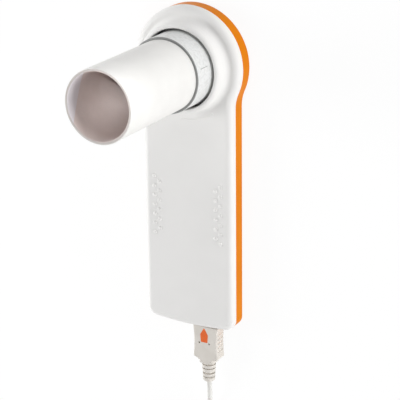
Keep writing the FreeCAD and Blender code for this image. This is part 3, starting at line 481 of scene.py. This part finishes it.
clear_plastic = skinned("clear_plastic", moulded_skin, 0.00002, {
    "Colour": colour(242, 243, 242), "Patch Colour": colour(226, 227, 225), "Roughness": 0.34, "Spread": 0.25,
    "Grain Scale": 2600.0, "Patch Scale": 900.0}, {"Transmission Weight": 0.15, "IOR": 1.49})
dress(clear_plastic, "turbine_tube")

# The collar's cut rim is painted grey beside the frosted sides, a painted shade for the dark line where it
# meets the mouthpiece.
collar_top = 0.0284
rim_starts = collar_top - 0.00030
rim_full = collar_top - 0.00022
rim_painted_shade = colour(150, 151, 150)
tree = clear_plastic.node_tree
shader = tree.nodes["Principled BSDF"]
side_tone = shader.inputs["Base Color"].links[0].from_socket
height = add_node(tree, "ShaderNodeSeparateXYZ", {0: own_place(tree)}).outputs["Z"]
rim_shade_share = stepped(tree, height, rim_starts, rim_full)
tree.links.new(blended(tree, rim_shade_share, side_tone, rim_painted_shade), shader.inputs["Base Color"])

# A short raised line on the side of the collar. Its foot and top are shares of its width, each way.
collar_radius = 0.0160
collar_mark_angle = 14.5
collar_mark_low = 0.0200
collar_mark_high = 0.0255
collar_mark_width = 0.00030
collar_mark_foot = 0.5
collar_mark_top = 0.35
collar_mark_proud = 0.00006
collar_mark_sunk = 0.0001

mark = bmesh.new()
a = math.radians(collar_mark_angle)
outward = Vector((math.cos(a), math.sin(a), 0.0))
aside = Vector((-math.sin(a), math.cos(a), 0.0))
middle = Vector((0.0, head_y, 0.0))
corners = []
for level in (collar_mark_low, collar_mark_high):
    for away, across in ((-collar_mark_sunk, -collar_mark_foot), (-collar_mark_sunk, collar_mark_foot),
                         (collar_mark_proud, collar_mark_top), (collar_mark_proud, -collar_mark_top)):
        spot = middle + outward * (collar_radius + away) + aside * across * collar_mark_width
        corners.append(mark.verts.new((spot.x, spot.y, level)))
for i in range(4):
    mark.faces.new((corners[i], corners[(i + 1) % 4], corners[4 + (i + 1) % 4], corners[4 + i]))
mark.faces.new(corners[3::-1])
mark.faces.new(corners[4:])
mark_grey = skinned("mark_grey", moulded_skin, 0.00001, {
    "Colour": colour(176, 177, 175), "Patch Colour": colour(160, 161, 159), "Roughness": 0.5, "Spread": 0.2,
    "Grain Scale": 2600.0, "Patch Scale": 420.0})
added_piece("collar_mark", mark, "turbine", mark_grey)


# Swirlers: two fixed grilles of curved blades in milky plastic, one each side of the rotor. They set the
# air turning and carry the bearings.

swirler_plastic = skinned("swirler_plastic", moulded_skin, 0.000004, {
    "Colour": colour(226, 229, 228), "Patch Colour": colour(214, 218, 217), "Roughness": 0.28, "Spread": 0.15,
    "Grain Scale": 1500.0, "Patch Scale": 150.0}, {"Transmission Weight": 0.3})
dress(swirler_plastic, "rear_swirler", "front_swirler")


# Bearings: two small cups of synthetic ruby, pressed into the swirlers' hubs. The ends of the axle turn
# in them.

bearing_ruby = skinned("bearing_ruby", moulded_skin, 0.000001, {
    "Colour": colour(170, 26, 52), "Patch Colour": colour(140, 16, 40), "Roughness": 0.08, "Spread": 0.05,
    "Grain Scale": 2000.0, "Patch Scale": 600.0}, {"Transmission Weight": 0.4, "IOR": 1.76})
dress(bearing_ruby, "rear_bearing", "front_bearing")


# Rotor: one thin matt black vane right across the tube, moulded on a fine steel axle. Breath spins it,
# and it breaks the infrared beams as it passes.

vane_black = skinned("vane_black", moulded_skin, 0.000005, {
    "Colour": colour(40, 40, 43), "Patch Colour": colour(32, 32, 35), "Roughness": 0.6, "Spread": 0.2,
    "Grain Scale": 3500.0, "Patch Scale": 300.0})
dress(vane_black, "rotor_vane")

# The skin of all drawn and plated metal: fine lines along the way it was drawn, with duller patches.
drawn_metal, given, result = new_group(
    "drawn_metal",
    {"Colour": colour(200, 200, 200), "Patch Colour": colour(180, 180, 180), "Roughness": 0.3,
     "Spread": 0.15, "Line Scale": 2500.0, "Stretch": 0.08},
    {"Colour": "NodeSocketColor", "Roughness": "NodeSocketFloat", "Height": "NodeSocketFloat"})
metal_patch_scale = 350.0
place = own_place(drawn_metal)
split = add_node(drawn_metal, "ShaderNodeSeparateXYZ", {0: place})
pressed = calculate(drawn_metal, "MULTIPLY", split.outputs["Y"], given.outputs["Stretch"])
joined = add_node(drawn_metal, "ShaderNodeCombineXYZ",
                  {0: split.outputs["X"], 1: pressed, 2: split.outputs["Z"]}).outputs[0]
lines = noise(drawn_metal, joined, given.outputs["Line Scale"], 3.0)
patches = noise(drawn_metal, place, metal_patch_scale, 4.0)
end_skin(drawn_metal, given, result, patches, lines, lines)

plated_steel = skinned("plated_steel", drawn_metal, 0.000003, {
    "Colour": colour(212, 212, 210), "Patch Colour": colour(196, 196, 196), "Roughness": 0.28, "Spread": 0.2,
    "Line Scale": 2500.0, "Stretch": 0.08}, {"Metallic": 1.0})
dress(plated_steel, "rotor_axle")


# Mouthpiece: a tube wound from grey board, with smooth white paper outside. It is thrown away after use,
# and its lower end is squeezed into the turbine's collar. Inside, one side of the wall near the mouth is
# paler.

tube_outer = (mouth_high[0] - mouth_low[0]) / 2
tube_inner = 0.01375
seam_pitch = 0.074
seam_share = 0.004
patch_middle = math.radians(165.0)
patch_reach = math.radians(51.0)
patch_depth = 0.0080
patch_edge = 0.0003
board_starts = tube_inner + 0.00005
board_full = tube_inner + 0.00030
paper_starts = tube_outer - 0.00032
paper_full = tube_outer - 0.00022

paper_white = colour(233, 232, 229)
paper_shade = colour(230, 229, 226)
board_edge = colour(208, 201, 197)
board_grey = colour(223, 210, 206)
board_shade = colour(217, 203, 198)
patch_pale = colour(226, 222, 226)


def work_out(tree, operation, *values):
    """The node for one sum on places or directions."""
    return add_node(tree, "ShaderNodeVectorMath", dict(enumerate(values)), operation=operation)


card, tree, shader = new_material("mouthpiece_card")
place = own_place(tree)
from_axis = work_out(tree, "SUBTRACT", place, (0.0, head_y, 0.0)).outputs[0]
flat = work_out(tree, "MULTIPLY", from_axis, (1.0, 1.0, 0.0)).outputs[0]
radius = work_out(tree, "LENGTH", flat).outputs["Value"]
height = add_node(tree, "ShaderNodeSeparateXYZ", {0: place}).outputs["Z"]
along_tube = work_out(tree, "MULTIPLY", place, (1.0, 1.0, 0.25)).outputs[0]
fibres = noise(tree, along_tube, 2600.0, 4.0)
clouds = noise(tree, place, 120.0, 5.0)
outside = blended(tree, stepped(tree, clouds, 0.3, 0.7), paper_white, paper_shade)
inside = blended(tree, stepped(tree, clouds, 0.3, 0.7), board_grey, board_shade)
fibre_share = calculate(tree, "MULTIPLY", stepped(tree, fibres, 0.45, 0.8), 0.35)
inside = blended(tree, fibre_share, inside, board_edge)

outward = work_out(tree, "NORMALIZE", flat).outputs[0]
patch_way = (math.cos(patch_middle), math.sin(patch_middle), 0.0)
toward = work_out(tree, "DOT_PRODUCT", outward, patch_way).outputs["Value"]
depth_here = calculate(tree, "MULTIPLY", calculate(tree, "SUBTRACT", toward, math.cos(patch_reach)),
                       patch_depth / (1.0 - math.cos(patch_reach)))
below_rim = calculate(tree, "SUBTRACT", mouth_high[2], height)
patch = stepped(tree, calculate(tree, "SUBTRACT", depth_here, below_rim), 0.0, patch_edge)
inside = blended(tree, patch, inside, patch_pale)

past_inner = stepped(tree, radius, board_starts, board_full)
past_core = stepped(tree, radius, paper_starts, paper_full)
rim = blended(tree, past_inner, inside, board_edge)
tree.links.new(blended(tree, past_core, rim, outside), shader.inputs["Base Color"])
tree.links.new(calculate(tree, "MULTIPLY_ADD", past_core, -0.35, 0.85), shader.inputs["Roughness"])

turn = add_node(tree, "ShaderNodeTexGradient", {0: flat}, gradient_type="RADIAL").outputs[1]
wound = calculate(tree, "ADD", turn, calculate(tree, "DIVIDE", height, seam_pitch))
winding = calculate(tree, "FRACT", wound)
seam = stepped(tree, calculate(tree, "PINGPONG", winding, 0.5), 0.0, seam_share)
add_relief(tree, shader, 0.00002, calculate(tree, "MULTIPLY_ADD", fibres, 0.4, seam))
shader.inputs["Specular IOR Level"].default_value = 0.3
dress(card, "mouthpiece_tube")


# Screws: zinc-plated steel with cross recesses. Four close the case from the back, and three hold the
# main board in the handle.

screw_steel = skinned("screw_steel", drawn_metal, 0.000003, {
    "Colour": colour(196, 196, 200), "Patch Colour": colour(172, 172, 178), "Roughness": 0.36, "Spread": 0.25,
    "Line Scale": 3500.0, "Stretch": 1.0}, {"Metallic": 1.0})
dress(screw_steel, "case_screws", "board_screws")


# Circuit boards: glass fibre with green lacquer over copper tracks. One is a ring round the turbine's
# socket, the other fills the handle.

pad_tin = colour(206, 196, 170)

board_green, tree, shader = new_material("board_green")
place = own_place(tree)
tracks = add_node(tree, "ShaderNodeTexBrick", {
    "Vector": place, "Color1": colour(16, 92, 58), "Color2": colour(12, 80, 50),
    "Mortar": colour(34, 128, 82), "Scale": 260.0, "Mortar Size": 0.035, "Mortar Smooth": 0.2,
    "Brick Width": 0.9, "Row Height": 0.35})
weave = noise(tree, place, 2500.0, 2.0)
pads = add_node(tree, "ShaderNodeTexVoronoi", {"Vector": place, "Scale": 330.0, "Randomness": 0.55})
pad_share = calculate(tree, "SUBTRACT", 1.0, stepped(tree, pads.outputs["Distance"], 0.10, 0.14))
tree.links.new(blended(tree, pad_share, tracks.outputs["Color"], pad_tin), shader.inputs["Base Color"])
tree.links.new(calculate(tree, "MULTIPLY", pad_share, 0.8), shader.inputs["Metallic"])
tree.links.new(calculate(tree, "MULTIPLY_ADD", weave, 0.15, 0.28), shader.inputs["Roughness"])
raised = calculate(tree, "ADD", tracks.outputs["Fac"], calculate(tree, "MULTIPLY", weave, 0.2))
add_relief(tree, shader, 0.00002, raised)
dress(board_green, "main_board", "sensor_board")


# Chips and small parts: black moulded cases with tinned legs, infrared parts in dark plastic, small
# ceramic parts and a plated can, all soldered to the boards.

def chip_finish(node, legs_x, legs_y):
    """A moulded chip's case with tinned legs past its sides, where it has them."""
    material, tree, shader = new_material(node + "_case")
    low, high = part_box(node)
    leg_reach = 0.00115
    middle = [(a + b) / 2 for a, b in zip(low, high)]
    place = own_place(tree)
    away = work_out(tree, "SUBTRACT", place, middle).outputs[0]
    split = add_node(tree, "ShaderNodeSeparateXYZ", {0: work_out(tree, "ABSOLUTE", away).outputs[0]})
    legs = 0.0
    for axis, has_legs in (("X", legs_x), ("Y", legs_y)):
        half = (high["XY".index(axis)] - low["XY".index(axis)]) / 2
        if has_legs:
            past = calculate(tree, "GREATER_THAN", split.outputs[axis], half - leg_reach)
            legs = calculate(tree, "MAXIMUM", legs, past)
    speckle = noise(tree, place, 5000.0, 2.0)
    case = blended(tree, speckle, colour(34, 34, 36), colour(46, 46, 48))
    tree.links.new(blended(tree, legs, case, colour(200, 200, 198)), shader.inputs["Base Color"])
    tree.links.new(legs, shader.inputs["Metallic"])
    tree.links.new(calculate(tree, "MULTIPLY_ADD", speckle, 0.3, 0.35), shader.inputs["Roughness"])
    add_relief(tree, shader, 0.000006, speckle)
    dress(material, node)


chip_finish("main_chip", True, True)
chip_finish("interface_chip", True, False)
connector_black = skinned("connector_black", moulded_skin, 0.000004, {
    "Colour": colour(46, 46, 49), "Patch Colour": colour(38, 38, 41), "Roughness": 0.5, "Spread": 0.15,
    "Grain Scale": 3500.0, "Patch Scale": 300.0})
lens_dark = skinned("lens_dark", moulded_skin, 0.000002, {
    "Colour": colour(66, 40, 58), "Patch Colour": colour(54, 32, 48), "Roughness": 0.14, "Spread": 0.08,
    "Grain Scale": 2500.0, "Patch Scale": 400.0}, {"Coat Weight": 0.4})
component_tan = skinned("component_tan", moulded_skin, 0.000006, {
    "Colour": colour(188, 160, 124), "Patch Colour": colour(166, 136, 100), "Roughness": 0.5, "Spread": 0.2,
    "Grain Scale": 4500.0, "Patch Scale": 700.0})
dress(connector_black, "link_header", "temperature_sensor")
dress(lens_dark, "infrared_emitters", "infrared_receivers")
dress(component_tan, "small_board_parts")
dress(plated_steel, "crystal")


# Cable socket: a folded steel shell in the handset's lower end, with a black tongue that carries five
# gilt contacts.

contact_gold = skinned("contact_gold", drawn_metal, 0.000002, {
    "Colour": colour(238, 204, 120), "Patch Colour": colour(222, 184, 98), "Roughness": 0.22, "Spread": 0.12,
    "Line Scale": 4000.0, "Stretch": 0.05}, {"Metallic": 1.0})
dress(plated_steel, "receptacle_shell")
dress(connector_black, "receptacle_tongue")
dress(contact_gold, "receptacle_contacts")


# Plug: a steel shell with its insulator and contacts, in a soft warm grey moulding that runs on into a
# grooved strain relief. An orange arrow is let into its upper face and points to the handset.

plug_grey = skinned("plug_grey", moulded_skin, 0.000008, {
    "Colour": colour(221, 216, 209), "Patch Colour": colour(215, 210, 202), "Roughness": 0.55, "Spread": 0.15,
    "Grain Scale": 2600.0, "Patch Scale": 160.0}, {"Specular IOR Level": 0.35})
arrow_orange = skinned("arrow_orange", moulded_skin, 0.000008, {
    "Colour": colour(230, 106, 44), "Patch Colour": colour(220, 96, 40), "Roughness": 0.5, "Spread": 0.15,
    "Grain Scale": 2600.0, "Patch Scale": 350.0}, {"Specular IOR Level": 0.35})
dress(plated_steel, "plug_shell", "far_shell")
dress(connector_black, "plug_core", "far_core")
dress(contact_gold, "plug_contacts", "far_contacts")
dress(plug_grey, "plug_moulding", "plug_strain_relief", "far_moulding", "far_strain_relief")
dress(arrow_orange, "plug_arrow")


# Cable tie: a woven black strap wrapped once round the stored turns, which holds them together while the
# cable is put away.

tie_weave, tree, shader = new_material("tie_weave")
threading = {"Vector": own_place(tree), "Scale": 700.0, "Distortion": 0.6}
warp = add_node(tree, "ShaderNodeTexWave", threading, bands_direction="X").outputs["Fac"]
weft = add_node(tree, "ShaderNodeTexWave", threading, bands_direction="Y").outputs["Fac"]
threads = calculate(tree, "MULTIPLY", warp, weft)
tree.links.new(blended(tree, threads, colour(30, 30, 32), colour(70, 70, 74)), shader.inputs["Base Color"])
tree.links.new(calculate(tree, "MULTIPLY_ADD", threads, -0.2, 0.9), shader.inputs["Roughness"])
add_relief(tree, shader, 0.00008, threads)
dress(tie_weave, "cable_tie")
